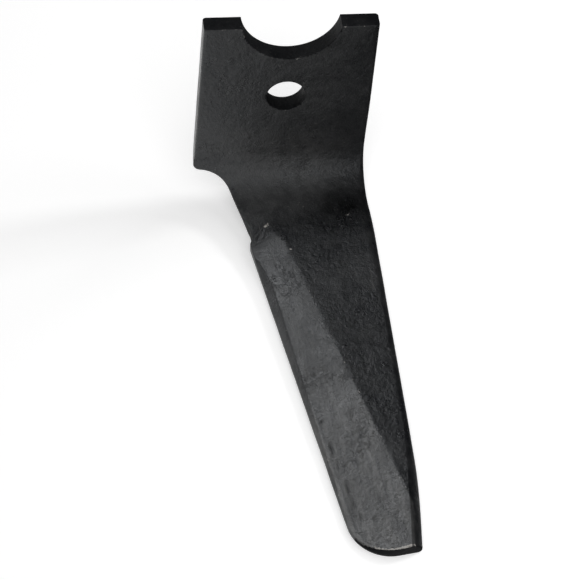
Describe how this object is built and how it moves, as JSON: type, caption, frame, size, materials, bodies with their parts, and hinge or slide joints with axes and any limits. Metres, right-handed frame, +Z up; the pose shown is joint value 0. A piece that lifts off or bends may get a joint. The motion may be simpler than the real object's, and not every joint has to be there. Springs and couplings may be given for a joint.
{
  "type": "power harrow tine",
  "caption": "Forged power harrow tine: flat head with a pin hole and half-round notch, cranked bend, and a tapered blade with a bevelled edge.",
  "frame": {"origin": "centre of the pin hole in the head, at mid thickness", "axes": "+Y from the tip towards the head along the blade, +X across the blade towards its straight edge, +Z up as it lies on the back of its blade"},
  "size_m": [0.1241, 0.3181, 0.1557],
  "materials": {
    "black_steel": "semi-matt black paint over forged scale"
  },
  "bodies": {
    "root": {"tine": "black_steel"}
  },
  "joints": []
}
